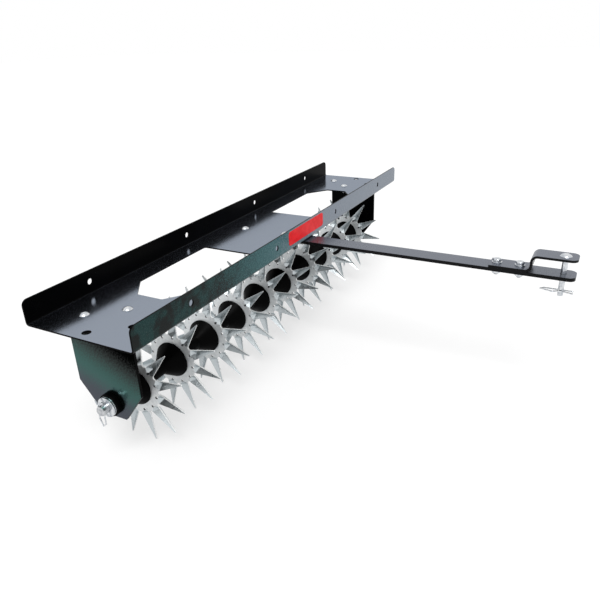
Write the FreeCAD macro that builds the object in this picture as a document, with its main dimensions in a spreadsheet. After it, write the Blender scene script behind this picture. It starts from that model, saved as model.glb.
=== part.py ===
import FreeCAD, Part
import math
import os
import Sketcher

# Tow-behind spike aerator: a folded weight tray carried on a row of spiked stars,
# with a flat drawbar and a clevis hitch. Millimetres, X along the axle, front is -Y,
# +Z up, the ground at Z = 0. Every sub-part is drawn about the middle of the axle
# and is then placed at the axle's height above the ground.

SIZES = [
    # weight tray
    ("tray_length", 1016.0),
    ("tray_width", 206.0),
    ("sheet", 2.7),
    ("flange_height", 40.0),
    ("bend_inside", 2.6),
    ("corner_round", 10.0),
    ("axle_drop", 129.0),
    ("bridge_half", 127.0),
    ("cutout_end_inset", 150.0),
    ("cutout_half_width", 60.0),
    ("cutout_end_half", 25.0),
    ("cutout_corner_run", 47.0),
    ("cutout_round", 5.0),
    ("flange_hole_rise", 21.0),
    ("flange_hole_radius", 5.2),
    ("spare_hole_radius", 7.0),
    # end plates
    ("plate_inset", 38.0),
    ("plate_thick", 4.8),
    ("plate_half_width", 62.0),
    ("plate_corner_rise", 26.5),
    ("plate_foot_drop", 24.0),
    ("plate_foot_half", 24.0),
    ("plate_bend", 5.0),
    ("lug_depth", 78.0),
    ("end_bolt_inset", 59.0),
    ("end_bolt_spread", 41.5),
    ("end_bolt_side", 48.0),
    # fasteners
    ("bolt_radius", 3.95),
    ("bolt_play", 0.35),
    ("dome_radius", 8.2),
    ("dome_height", 4.2),
    ("nut_circumradius", 7.33),
    ("nut_height", 6.8),
    ("thread_play", 0.05),
    ("bolt_stickout", 3.0),
    ("hex_height", 5.3),
    ("flat_washer_radius", 8.7),
    ("flat_washer_thick", 1.6),
    ("lock_washer_radius", 6.9),
    ("lock_washer_thick", 2.0),
    # axle and its bearings
    ("axle_radius", 7.94),
    ("axle_end_past_washers", 12.4),
    ("axle_chamfer", 1.2),
    ("running_play", 0.06),
    ("bush_sleeve_radius", 11.1),
    ("bush_flange_radius", 19.0),
    ("bush_flange_thick", 8.0),
    ("bush_inboard", 2.0),
    ("axle_washer_radius", 16.6),
    ("axle_washer_thick", 2.5),
    ("axial_play", 0.3),
    ("axle_clip_inset", 6.6),
    # spiked stars and the spacers between them
    ("end_star_inset", 47.6),
    ("star_sheet", 2.6),
    ("tine_radius", 98.5),
    ("tine_apex_radius", 102.5),
    ("tine_base_rise", 48.6),
    ("tine_base_half", 9.3),
    ("crease_root", 42.5),
    ("crease_bottom", 52.5),
    ("crease_depth", 8.0),
    ("crease_hole_radius", 2.3),
    ("spacer_radius", 32.0),
    ("spacer_lip", 2.0),
    ("spacer_cone", 30.0),
    ("spacer_tube_radius", 12.5),
    # drawbar and hitch
    ("bar_width", 38.1),
    ("bar_thick", 6.35),
    ("bar_rear", 66.0),
    ("bar_reach", 594.0),
    ("bar_round", 11.0),
    ("bar_bolt_side", 48.0),
    ("pin_inset", 20.0),
    ("rear_hitch_hole_inset", 127.0),
    ("front_hitch_hole_inset", 89.0),
    ("strap_length", 138.0),
    ("strap_step_inset", 72.0),
    ("strap_thick", 4.2),
    ("strap_bend", 7.0),
    ("jaw_gap", 26.5),
    ("pin_radius", 4.76),
    ("pin_play", 0.4),
    ("pin_head_radius", 9.6),
    ("pin_head_height", 4.4),
    ("pin_below_bar", 33.0),
    ("pin_clip_drop", 23.5),
    # bent-wire clips
    ("wire_radius", 1.25),
    ("wire_play", 0.05),
    ("clip_gap", 0.35),
    ("clip_loop_radius", 5.6),
    ("pin_clip_leg", 19.5),
    ("axle_clip_leg", 13.0),
    ("clip_loop_run", 32.0),
    ("clip_flare", 4.0),
    # front label plate
    ("label_centre", -9.5),
    ("label_length", 146.0),
    ("label_height", 27.0),
    ("label_rise", 10.0),
    ("label_thick", 0.6),
    ("label_round", 6.0),
]

STAR_COUNT = 10
SPIKE_COUNT = 12
HEX_SIDES = 6
STAR_PHASES = [14.4, 7.9, 11.5, 19.0, 16.0, 0.0, 23.0, 4.0, 9.0, 2.5]
SIDES = {"left": -1, "right": 1}

doc = FreeCAD.newDocument("spike_aerator")
sheet = doc.addObject("Spreadsheet::Sheet", "dims")
for row, (alias, size) in enumerate(SIZES, start=1):
    cell = "A%d" % row
    sheet.set(cell, str(size))
    sheet.setAlias(cell, alias)
doc.recompute()

# Derived lengths, written as formulas over the sheet.
HALF_LENGTH = "(dims.tray_length / 2)"
HALF_WIDTH = "(dims.tray_width / 2)"
FLOOR_UNDER = "dims.axle_drop"
FLOOR_TOP = "(dims.axle_drop + dims.sheet)"
FLANGE_TOP = "(dims.axle_drop + dims.flange_height)"
AXLE_SHIFT = "((dims.bar_reach - dims.tray_width / 2) / 2)"
AXLE_HEIGHT = "dims.tine_radius"
PLATE_FACE = "(dims.tray_length / 2 - dims.plate_inset)"
PLATE_INNER = "(dims.tray_length / 2 - dims.plate_inset - dims.plate_thick)"
END_BOLT_X = "(dims.tray_length / 2 - dims.end_bolt_inset)"
CUTOUT_REACH = "(dims.tray_length / 2 - dims.cutout_end_inset)"
WASHERS_END = "(%s + dims.bush_flange_thick + 2 * (dims.axle_washer_thick + dims.axial_play))" % PLATE_FACE
AXLE_REACH = "(%s + dims.axle_end_past_washers)" % WASHERS_END
AXLE_CLIP_X = "(%s - dims.axle_clip_inset)" % AXLE_REACH
STAR_PITCH = "((%s - dims.end_star_inset) * 2 / %d)" % (PLATE_INNER, STAR_COUNT - 1)
LUG_UNDER = "(dims.axle_drop - dims.plate_thick)"
BAR_UNDER = "(dims.axle_drop - dims.bar_thick)"
PIN_REACH = "(dims.bar_reach - dims.pin_inset)"
HITCH_REAR = "(dims.bar_reach - dims.rear_hitch_hole_inset)"
HITCH_FRONT = "(dims.bar_reach - dims.front_hitch_hole_inset)"
STRAP_REAR = "(dims.bar_reach - dims.strap_length)"
STRAP_STEP = "(dims.bar_reach - dims.strap_step_inset)"
STRAP_TOP = "(dims.axle_drop + dims.strap_thick)"
JAW_TOP = "(dims.axle_drop + dims.jaw_gap + dims.strap_thick)"
BOLT_HOLE = "(dims.bolt_radius + dims.bolt_play)"
NUT_BORE = "(dims.bolt_radius + dims.thread_play)"
AXLE_BORE = "(dims.axle_radius + dims.running_play)"
PIN_HOLE = "(dims.pin_radius + dims.pin_play)"
PIN_FOOT = "(dims.axle_drop - dims.bar_thick - dims.pin_below_bar)"
PIN_CLIP_Z = "(dims.axle_drop - dims.pin_clip_drop - dims.bar_thick)"
WIRE_HOLE = "(dims.wire_radius + dims.wire_play)"

parts = {}


def size_of(formula):
    """Give the present value of a formula over the sheet."""
    return float(sheet.evalExpression(formula))


def seat(node, thing):
    """Name a finished sub-part and put it at the axle's place above the ground."""
    thing.Label = node
    if thing.isDerivedFrom("Part::Feature") and thing.TypeId == "Part::Feature":
        thing.Placement.Base = FreeCAD.Vector(0, size_of(AXLE_SHIFT), size_of(AXLE_HEIGHT))
    else:
        thing.setExpression("Placement.Base.y", AXLE_SHIFT)
        thing.setExpression("Placement.Base.z", AXLE_HEIGHT)
    parts[node] = thing
    return thing


def new_sketch(body, name, role, offset="0"):
    """Add a sketch on one of the body's own origin planes, at an offset along its normal."""
    plane = [item for item in body.Origin.OriginFeatures if item.Role == role][0]
    sketch = body.newObject("Sketcher::SketchObject", name)
    sketch.AttachmentSupport = (plane, [""])
    sketch.MapMode = "FlatFace"
    sketch.setExpression("AttachmentOffset.Base.z", offset)
    return sketch


def bind(sketch, kind, place, formula):
    """Hold one signed distance of a sketch at a formula."""
    number = sketch.addConstraint(Sketcher.Constraint(kind, *place, size_of(formula)))
    sketch.setExpression("Constraints[%d]" % number, formula)


def add_outline(sketch, corners):
    """Draw a closed outline through corners given as pairs of formulas."""
    places = [FreeCAD.Vector(size_of(across), size_of(up), 0) for across, up in corners]
    first = sketch.GeometryCount
    count = len(corners)
    for index in range(count):
        line = Part.LineSegment(places[index], places[(index + 1) % count])
        sketch.addGeometry(line, False)
    for index in range(count):
        following = first + (index + 1) % count
        sketch.addConstraint(Sketcher.Constraint("Coincident", first + index, 2, following, 1))
    for index, (across, up) in enumerate(corners):
        bind(sketch, "DistanceX", (-1, 1, first + index, 1), across)
        bind(sketch, "DistanceY", (-1, 1, first + index, 1), up)


def add_circle(sketch, across, up, radius):
    """Draw a circle whose centre and radius are formulas."""
    centre = FreeCAD.Vector(size_of(across), size_of(up), 0)
    circle = Part.Circle(centre, FreeCAD.Vector(0, 0, 1), size_of(radius))
    index = sketch.addGeometry(circle, False)
    bind(sketch, "DistanceX", (-1, 1, index, 3), across)
    bind(sketch, "DistanceY", (-1, 1, index, 3), up)
    bind(sketch, "Radius", (index,), radius)


def add_pad(body, name, sketch, length, reverse=False, middle=False):
    """Raise a sketch into the body."""
    pad = body.newObject("PartDesign::Pad", name)
    pad.Profile = sketch
    pad.setExpression("Length", length)
    pad.Reversed = reverse
    pad.Midplane = middle
    return pad


def add_cut(body, name, sketch):
    """Cut a sketch through the whole body, both ways from its plane."""
    doc.recompute()
    before = body.Shape.Volume
    pocket = body.newObject("PartDesign::Pocket", name)
    pocket.Profile = sketch
    pocket.Type = 1
    pocket.Midplane = True
    doc.recompute()
    if body.Shape.Volume >= before:
        raise RuntimeError("%s cuts nothing" % name)
    return pocket


def edges_where(shape, wanted):
    """List the names of the edges that a test accepts."""
    return ["Edge%d" % number for number, edge in enumerate(shape.Edges, start=1) if wanted(edge)]


def runs_along(edge, axis):
    """Tell whether an edge is straight and lies along one axis."""
    if not isinstance(edge.Curve, Part.Line):
        return False
    return abs(abs(edge.Curve.Direction.dot(axis)) - 1) < 1e-6


def dress_edges(body, kind, name, wanted, key, formula):
    """Round or bevel the edges of the body's present shape that a test accepts."""
    doc.recompute()
    base = body.Tip
    chosen = edges_where(base.Shape, wanted)
    if not chosen:
        raise RuntimeError("%s finds no edges" % name)
    dressing = body.newObject(kind, name)
    dressing.Base = (base, chosen)
    dressing.setExpression(key, formula)
    doc.recompute()


def add_fillet(body, name, wanted, radius):
    """Round edges."""
    dress_edges(body, "PartDesign::Fillet", name, wanted, "Radius", radius)


def add_chamfer(body, name, wanted, width):
    """Bevel edges."""
    dress_edges(body, "PartDesign::Chamfer", name, wanted, "Size", width)


X_AXIS = FreeCAD.Vector(1, 0, 0)
Y_AXIS = FreeCAD.Vector(0, 1, 0)
Z_AXIS = FreeCAD.Vector(0, 0, 1)


# Weight tray: one folded sheet with two flanges, two cut-outs over the stars,
# four holes in each flange and a diamond of holes at each end.
def build_tray():
    body = doc.addObject("PartDesign::Body", "tray_body")
    profile = new_sketch(body, "tray_profile", "YZ_Plane")
    inner = "(dims.tray_width / 2 - dims.sheet)"
    add_outline(profile, [
        ("-" + HALF_WIDTH, FLOOR_UNDER),
        (HALF_WIDTH, FLOOR_UNDER),
        (HALF_WIDTH, FLANGE_TOP),
        (inner, FLANGE_TOP),
        (inner, FLOOR_TOP),
        ("-" + inner, FLOOR_TOP),
        ("-" + inner, FLANGE_TOP),
        ("-" + HALF_WIDTH, FLANGE_TOP),
    ])
    add_pad(body, "tray_channel", profile, "dims.tray_length", middle=True)

    half_length, half_width = size_of(HALF_LENGTH), size_of(HALF_WIDTH)
    under, top, flange_top = size_of(FLOOR_UNDER), size_of(FLOOR_TOP), size_of(FLANGE_TOP)

    def at_outer_bend(edge):
        middle = edge.CenterOfMass
        return runs_along(edge, X_AXIS) and abs(middle.z - under) < 0.1 and abs(middle.y) > half_width - 0.1

    def at_inner_bend(edge):
        middle = edge.CenterOfMass
        return runs_along(edge, X_AXIS) and abs(middle.z - top) < 0.1

    def at_flange_corner(edge):
        middle = edge.CenterOfMass
        at_end = abs(abs(middle.x) - half_length) < 0.1
        return runs_along(edge, Y_AXIS) and at_end and abs(middle.z - flange_top) < 0.1

    add_fillet(body, "tray_outer_bends", at_outer_bend, "dims.bend_inside + dims.sheet")
    add_fillet(body, "tray_inner_bends", at_inner_bend, "dims.bend_inside")
    add_fillet(body, "tray_flange_corners", at_flange_corner, "dims.corner_round")

    for side, sign in SIDES.items():
        cutout = new_sketch(body, "tray_cutout_" + side, "XY_Plane")
        near = "%d * dims.bridge_half" % sign
        far = "%d * %s" % (sign, CUTOUT_REACH)
        shoulder = "%d * (%s - dims.cutout_corner_run)" % (sign, CUTOUT_REACH)
        add_outline(cutout, [
            (near, "-dims.cutout_half_width"),
            (shoulder, "-dims.cutout_half_width"),
            (far, "-dims.cutout_end_half"),
            (far, "dims.cutout_end_half"),
            (shoulder, "dims.cutout_half_width"),
            (near, "dims.cutout_half_width"),
        ])
        add_cut(body, "tray_opening_" + side, cutout)

    def at_cutout_corner(edge):
        middle = edge.CenterOfMass
        within = abs(middle.y) < size_of("dims.cutout_half_width") + 1
        return runs_along(edge, Z_AXIS) and within and abs(middle.x) < half_length - 1

    add_fillet(body, "tray_cutout_corners", at_cutout_corner, "dims.cutout_round")

    holes = new_sketch(body, "tray_floor_holes", "XY_Plane")
    for sign in SIDES.values():
        row = "%d * %s" % (sign, END_BOLT_X)
        inner_bolt = "%d * (%s - dims.end_bolt_spread)" % (sign, END_BOLT_X)
        outer_hole = "%d * (%s + dims.end_bolt_spread)" % (sign, END_BOLT_X)
        add_circle(holes, row, "dims.end_bolt_side", BOLT_HOLE)
        add_circle(holes, inner_bolt, "0", BOLT_HOLE)
        add_circle(holes, row, "-dims.end_bolt_side", "dims.spare_hole_radius")
        add_circle(holes, outer_hole, "0", "dims.spare_hole_radius")
    for sign in (-1, 1):
        add_circle(holes, "0", "%d * dims.bar_bolt_side" % sign, BOLT_HOLE)
    add_cut(body, "tray_floor_bores", holes)

    flange_holes = new_sketch(body, "tray_flange_holes", "XZ_Plane")
    height = "(dims.axle_drop + dims.flange_hole_rise)"
    for sign in (-1, 1):
        for share in (1, 3):
            across = "%d * dims.tray_length / 8" % (sign * share)
            add_circle(flange_holes, across, height, "dims.flange_hole_radius")
    add_cut(body, "tray_flange_bores", flange_holes)
    seat("weight_tray", body)


# End plate: an upright plate with a lug bent inwards under the tray floor.
def build_end_plate(side, sign):
    body = doc.addObject("PartDesign::Body", "plate_body_" + side)
    face = "%d * %s" % (sign, PLATE_FACE)
    upright = new_sketch(body, "plate_outline_" + side, "YZ_Plane", face)
    corner = "dims.plate_corner_rise"
    foot = "-dims.plate_foot_drop"
    half = "dims.plate_half_width"
    add_outline(upright, [
        (half, FLOOR_UNDER),
        ("-" + half, FLOOR_UNDER),
        ("-" + half, corner),
        ("-dims.plate_foot_half", foot),
        ("dims.plate_foot_half", foot),
        (half, corner),
    ])
    add_pad(body, "plate_upright_" + side, upright, "dims.plate_thick", reverse=sign > 0)
    lug = new_sketch(body, "plate_lug_outline_" + side, "XY_Plane", FLOOR_UNDER)
    inner = "%d * (%s - dims.lug_depth)" % (sign, PLATE_FACE)
    add_outline(lug, [(face, "-" + half), (inner, "-" + half), (inner, half), (face, half)])
    add_pad(body, "plate_lug_" + side, lug, "dims.plate_thick", reverse=True)

    outer_x, inner_x = sign * size_of(PLATE_FACE), sign * size_of(PLATE_INNER)
    top, under = size_of(FLOOR_UNDER), size_of(LUG_UNDER)

    def at_outer_bend(edge):
        middle = edge.CenterOfMass
        return runs_along(edge, Y_AXIS) and abs(middle.x - outer_x) < 0.1 and abs(middle.z - top) < 0.1

    def at_inner_bend(edge):
        middle = edge.CenterOfMass
        return runs_along(edge, Y_AXIS) and abs(middle.x - inner_x) < 0.1 and abs(middle.z - under) < 0.1

    add_fillet(body, "plate_inner_bend_" + side, at_inner_bend, "dims.plate_bend")
    add_fillet(body, "plate_outer_bend_" + side, at_outer_bend, "dims.plate_bend + dims.plate_thick")

    bore = new_sketch(body, "plate_bore_outline_" + side, "YZ_Plane")
    add_circle(bore, "0", "0", "dims.bush_sleeve_radius + dims.thread_play")
    add_cut(body, "plate_bore_" + side, bore)
    holes = new_sketch(body, "plate_lug_holes_" + side, "XY_Plane")
    row = "%d * %s" % (sign, END_BOLT_X)
    inner_bolt = "%d * (%s - dims.end_bolt_spread)" % (sign, END_BOLT_X)
    add_circle(holes, row, "dims.end_bolt_side", BOLT_HOLE)
    add_circle(holes, inner_bolt, "0", BOLT_HOLE)
    add_circle(holes, row, "-dims.end_bolt_side", "dims.spare_hole_radius")
    add_cut(body, "plate_lug_bores_" + side, holes)
    seat(side + "_end_plate", body)


# Round piece about the X axis, raised from a sketch with an optional bore.
def add_ring(body, name, start, length, radius, bore, reverse):
    ring = new_sketch(body, name + "_outline", "YZ_Plane", start)
    add_circle(ring, "0", "0", radius)
    add_circle(ring, "0", "0", bore)
    return add_pad(body, name, ring, length, reverse=reverse)


# Axle bush: a sleeve through the end plate with a thick flange on its outer face.
def build_bush(side, sign):
    body = doc.addObject("PartDesign::Body", "bush_body_" + side)
    face = "%d * %s" % (sign, PLATE_FACE)
    sleeve = "dims.plate_thick + dims.bush_inboard"
    add_ring(body, "bush_sleeve_" + side, face, sleeve, "dims.bush_sleeve_radius", AXLE_BORE, sign > 0)
    flange = "dims.bush_flange_thick"
    add_ring(body, "bush_flange_" + side, face, flange, "dims.bush_flange_radius", AXLE_BORE, sign < 0)
    seat(side + "_axle_bush", body)


# Axle: a straight round bar with a cross hole near each end.
def build_axle():
    body = doc.addObject("PartDesign::Body", "axle_body")
    section = new_sketch(body, "axle_section", "YZ_Plane")
    add_circle(section, "0", "0", "dims.axle_radius")
    add_pad(body, "axle_bar", section, "2 * " + AXLE_REACH, middle=True)
    add_chamfer(body, "axle_end_bevels", lambda edge: isinstance(edge.Curve, Part.Circle), "dims.axle_chamfer")
    holes = new_sketch(body, "axle_cross_holes", "XY_Plane")
    for sign in SIDES.values():
        add_circle(holes, "%d * %s" % (sign, AXLE_CLIP_X), "0", WIRE_HOLE)
    add_cut(body, "axle_cross_bores", holes)
    seat("axle", body)


# Two loose flat washers on each end of the axle, between the bush and the clip.
def build_axle_washers(side, sign):
    rings = []
    for number in range(2):
        start = "%d * (%s + dims.bush_flange_thick + dims.axial_play" % (sign, PLATE_FACE)
        start += " + %d * (dims.axle_washer_thick + dims.axial_play))" % number
        ring = doc.addObject("PartDesign::Body", "axle_washer_%s_%d" % (side, number))
        name = "axle_washer_ring_%s_%d" % (side, number)
        add_ring(ring, name, start, "dims.axle_washer_thick", "dims.axle_washer_radius", AXLE_BORE, sign < 0)
        rings.append(ring)
    group = doc.addObject("Part::Compound", "axle_washer_pair_" + side)
    group.Links = rings
    seat("axle_washers_" + side, group)


# Spiked star: a flat sheet disc with twelve long points, round-bottomed notches between
# them, a fold pressed along the middle of each point and a small hole at its root.
def build_star(number, phase):
    place = "(%d - %s) * %s" % (number, (STAR_COUNT - 1) / 2, STAR_PITCH)
    thick, deep = size_of("dims.star_sheet"), size_of("dims.crease_depth")
    rise, half = size_of("dims.tine_base_rise"), size_of("dims.tine_base_half")
    apex, root = size_of("dims.tine_apex_radius"), size_of("dims.crease_root")
    step = 2 * math.pi / SPIKE_COUNT
    front, back = -thick / 2, thick / 2
    base_radius, base_turn = math.hypot(rise, half), math.atan2(half, rise)
    # The notch is an arc that runs on smoothly from the edges of both points.
    notch_turn = (math.pi - step) / 2 - math.atan2(half, apex - rise)
    notch_half = base_radius * math.sin(step / 2 - base_turn)
    notch_dip = notch_half * math.tan(notch_turn / 2)
    notch_radius = base_radius * math.cos(step / 2 - base_turn) - notch_dip

    def at(radius, angle, height):
        return FreeCAD.Vector(height, radius * math.cos(angle), radius * math.sin(angle))

    def plate(points):
        return Part.Face(Part.makePolygon(points + points[:1]))

    def spike(angle):
        low, high = angle - base_turn, angle + base_turn
        faces = []
        for level in (front, back):
            start, tip = at(root, angle, level), at(apex, angle, level)
            fold = at(size_of("dims.crease_bottom"), angle, level + deep)
            for edge in (at(base_radius, low, level), at(base_radius, high, level)):
                faces.append(plate([start, fold, edge]))
                faces.append(plate([fold, tip, edge]))
        rim = [(root, angle), (base_radius, low), (apex, angle), (base_radius, high)]
        for index, (radius, turn) in enumerate(rim):
            next_radius, next_turn = rim[(index + 1) % len(rim)]
            near, far = at(radius, turn, front), at(next_radius, next_turn, front)
            faces.append(plate([near, far, at(next_radius, next_turn, back), at(radius, turn, back)]))
        shell = Part.makeCompound(faces)
        shell.sewShape()
        solid = Part.Solid(shell.Shells[0])
        if solid.Volume < 0:
            solid.reverse()
        return solid

    web, spikes, tools = [], [], []
    for index in range(SPIKE_COUNT):
        angle = math.radians(phase) + index * step
        corner = at(base_radius, angle + base_turn, front)
        next_corner = at(base_radius, angle + step - base_turn, front)
        dip = at(notch_radius, angle + step / 2, front)
        web.append(Part.LineSegment(at(root, angle, front), corner).toShape())
        web.append(Part.Arc(corner, dip, next_corner).toShape())
        web.append(Part.LineSegment(next_corner, at(root, angle + step, front)).toShape())
        spikes.append(spike(angle))
        start = at(root, angle, -2 * deep)
        tools.append(Part.makeCylinder(size_of("dims.crease_hole_radius"), 4 * deep, start, X_AXIS))
    disc = Part.Face(Part.Wire(web)).extrude(FreeCAD.Vector(thick, 0, 0))
    shape = disc.multiFuse(spikes).removeSplitter()
    start = FreeCAD.Vector(-2 * deep, 0, 0)
    tools.append(Part.makeCylinder(size_of(AXLE_BORE), 4 * deep, start, X_AXIS))
    shape = shape.cut(Part.makeCompound(tools))
    shape = shape.common(Part.makeCylinder(size_of("dims.tine_radius"), 4 * deep, start, X_AXIS))
    star = doc.addObject("Part::Feature", "star_sheet_%02d" % (number + 1))
    star.Shape = shape.Solids[0]
    star.Label = "tine_star_%02d" % (number + 1)
    base = FreeCAD.Vector(size_of(place), size_of(AXLE_SHIFT), size_of(AXLE_HEIGHT))
    star.Placement = FreeCAD.Placement(base, FreeCAD.Rotation())
    parts[star.Label] = star


# Spacer: a moulded tube on the axle that opens in a cone towards each star it bears on.
def build_spacer(number):
    body = doc.addObject("PartDesign::Body", "spacer_body_%02d" % (number + 1))
    gap = "(dims.star_sheet / 2 + dims.axial_play / 2)"
    end_gap = "(%s - dims.bush_inboard - dims.axial_play)" % PLATE_INNER
    half_row = "(%s - dims.end_star_inset)" % PLATE_INNER
    start = "(%s * %s + %s)" % (number - 1 - (STAR_COUNT - 1) / 2, STAR_PITCH, gap)
    length = "(%s - 2 * %s)" % (STAR_PITCH, gap)
    if number == 0:
        start = "(-%s)" % end_gap
    if number in (0, STAR_COUNT):
        length = "(%s - %s - %s)" % (end_gap, half_row, gap)
    finish = "(%s + %s)" % (start, length)
    wide, slim = "dims.spacer_radius", "dims.spacer_tube_radius"
    corners = [(start, AXLE_BORE)]
    if number == 0:
        corners.append((start, slim))
    else:
        corners += [(start, wide), (start + " + dims.spacer_lip", wide)]
        corners.append((start + " + dims.spacer_cone", slim))
    if number == STAR_COUNT:
        corners.append((finish, slim))
    else:
        corners.append((finish + " - dims.spacer_cone", slim))
        corners += [(finish + " - dims.spacer_lip", wide), (finish, wide)]
    corners.append((finish, AXLE_BORE))
    tag = "_%02d" % (number + 1)
    profile = new_sketch(body, "spacer_profile" + tag, "XY_Plane")
    add_outline(profile, corners)
    turned = body.newObject("PartDesign::Revolution", "spacer_turned" + tag)
    turned.Profile = profile
    turned.ReferenceAxis = (profile, ["H_Axis"])
    turned.Angle = 360
    seat("spacer" + tag, body)


# Bent wire: straight runs joined by tangent arcs, as one swept round wire.
def bent_wire(points, radii, wire_radius):
    edges = []
    start = points[0]
    for index in range(1, len(points) - 1):
        corner = points[index]
        back = (points[index - 1] - corner).normalize()
        ahead = (points[index + 1] - corner).normalize()
        half = back.getAngle(ahead) / 2
        reach = radii[index - 1] / math.tan(half)
        into, out = corner + back * reach, corner + ahead * reach
        inward = (back + ahead).normalize()
        crown = corner + inward * (radii[index - 1] / math.sin(half) - radii[index - 1])
        if (into - start).Length > 1e-6:
            edges.append(Part.LineSegment(start, into).toShape())
        edges.append(Part.Arc(into, crown, out).toShape())
        start = out
    edges.append(Part.LineSegment(start, points[-1]).toShape())
    path = Part.Wire(edges)
    heading = (points[1] - points[0]).normalize()
    section = Part.Wire(Part.Circle(points[0], heading, wire_radius).toShape())
    return path.makePipeShell([section], True, False)


# Spring clip: one straight leg through a cross hole, a loop, and a leg that grips
# the round bar from outside. Drawn with the straight leg along +V and the other at +U.
def clip_wire(bar_radius, leg):
    wire = size_of("dims.wire_radius")
    grip = bar_radius + wire + size_of("dims.clip_gap")
    loop = size_of("dims.clip_loop_radius")
    run = size_of("dims.clip_loop_run")
    flare = size_of("dims.clip_flare")
    width = max(2 * loop, grip + wire)
    waist = bar_radius + wire
    points = [
        FreeCAD.Vector(0, leg, 0),
        FreeCAD.Vector(0, -run, 0),
        FreeCAD.Vector(width, -run, 0),
        FreeCAD.Vector(width, -2 * waist, 0),
        FreeCAD.Vector(grip, -waist / 2, 0),
        FreeCAD.Vector(grip, waist / 2, 0),
        FreeCAD.Vector(grip + flare, leg, 0),
    ]
    radii = [loop * 0.99, loop * 0.99, 3 * wire, 3 * wire, 3 * wire]
    return bent_wire(points, radii, wire)


def build_clip(node, name, bar_radius, leg, turn, place):
    clip = doc.addObject("Part::Feature", name)
    clip.Shape = clip_wire(bar_radius, leg)
    clip.Label = node
    shift = FreeCAD.Vector(0, size_of(AXLE_SHIFT), size_of(AXLE_HEIGHT))
    clip.Placement = FreeCAD.Placement(place + shift, turn)
    parts[node] = clip


# Fasteners are drawn upright with the underside of the head at their own origin.
def primitive(kind, name, sizes, place):
    thing = doc.addObject(kind, name)
    for key, formula in sizes.items():
        thing.setExpression(key, formula)
    for axis, formula in zip("xyz", place):
        thing.setExpression("Placement.Base." + axis, formula)
    return thing


def carriage_bolt(tag, x, y, seat_z, nut_z):
    ball = "((dims.dome_radius ^ 2 + dims.dome_height ^ 2) / (2 * dims.dome_height))"
    sink = "(%s - dims.dome_height)" % ball
    dome = primitive("Part::Sphere", "dome_" + tag, {"Radius": ball}, (x, y, "%s - %s" % (seat_z, sink)))
    dome.setExpression("Angle1", "asin(%s / %s)" % (sink, ball))
    foot = "(%s - dims.nut_height - dims.bolt_stickout)" % nut_z
    shank_sizes = {"Radius": "dims.bolt_radius", "Height": "%s - %s" % (seat_z, foot)}
    shank = primitive("Part::Cylinder", "shank_" + tag, shank_sizes, (x, y, foot))
    bolt = doc.addObject("Part::MultiFuse", "bolt_" + tag)
    bolt.Shapes = [dome, shank]
    return bolt


def hex_bolt(tag, x, y, seat_z, nut_z):
    head_sizes = {"Circumradius": "dims.nut_circumradius", "Height": "dims.hex_height"}
    head = primitive("Part::Prism", "hex_head_" + tag, head_sizes, (x, y, seat_z))
    head.Polygon = HEX_SIDES
    foot = "(%s - dims.nut_height - dims.bolt_stickout)" % nut_z
    shank_sizes = {"Radius": "dims.bolt_radius", "Height": "%s - %s" % (seat_z, foot)}
    shank = primitive("Part::Cylinder", "hex_shank_" + tag, shank_sizes, (x, y, foot))
    bolt = doc.addObject("Part::MultiFuse", "hex_bolt_" + tag)
    bolt.Shapes = [head, shank]
    return bolt


def hex_nut(tag, x, y, top_z):
    foot = "(%s - dims.nut_height)" % top_z
    sizes = {"Circumradius": "dims.nut_circumradius", "Height": "dims.nut_height"}
    blank = primitive("Part::Prism", "nut_blank_" + tag, sizes, (x, y, foot))
    blank.Polygon = HEX_SIDES
    bore_sizes = {"Radius": NUT_BORE, "Height": "dims.nut_height"}
    bore = primitive("Part::Cylinder", "nut_bore_" + tag, bore_sizes, (x, y, foot))
    nut = doc.addObject("Part::Cut", "nut_" + tag)
    nut.Base, nut.Tool = blank, bore
    return nut


def washer(tag, x, y, foot, radius, thick):
    disc = primitive("Part::Cylinder", "washer_disc_" + tag, {"Radius": radius, "Height": thick}, (x, y, foot))
    bore_sizes = {"Radius": NUT_BORE, "Height": thick}
    bore = primitive("Part::Cylinder", "washer_bore_" + tag, bore_sizes, (x, y, foot))
    ring = doc.addObject("Part::Cut", "washer_" + tag)
    ring.Base, ring.Tool = disc, bore
    return ring


def group_parts(node, things):
    group = doc.addObject("Part::Compound", node + "_group")
    group.Links = things
    seat(node, group)


def build_end_fasteners(side, sign):
    row = "%d * %s" % (sign, END_BOLT_X)
    inner = "%d * (%s - dims.end_bolt_spread)" % (sign, END_BOLT_X)
    places = [(row, "dims.end_bolt_side"), (inner, "0")]
    bolts, nuts = [], []
    for number, (x, y) in enumerate(places):
        tag = "%s_end_%d" % (side, number)
        bolts.append(carriage_bolt(tag, x, y, FLOOR_TOP, LUG_UNDER))
        nuts.append(hex_nut(tag, x, y, LUG_UNDER))
    group_parts("end_plate_bolts_" + side, bolts)
    group_parts("end_plate_nuts_" + side, nuts)


def build_drawbar_fasteners():
    bolts, nuts = [], []
    for number, sign in enumerate((-1, 1)):
        y = "%d * dims.bar_bolt_side" % sign
        tag = "bar_%d" % number
        bolts.append(carriage_bolt(tag, "0", y, FLOOR_TOP, BAR_UNDER))
        nuts.append(hex_nut(tag, "0", y, BAR_UNDER))
    group_parts("drawbar_bolts", bolts)
    group_parts("drawbar_nuts", nuts)


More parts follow.
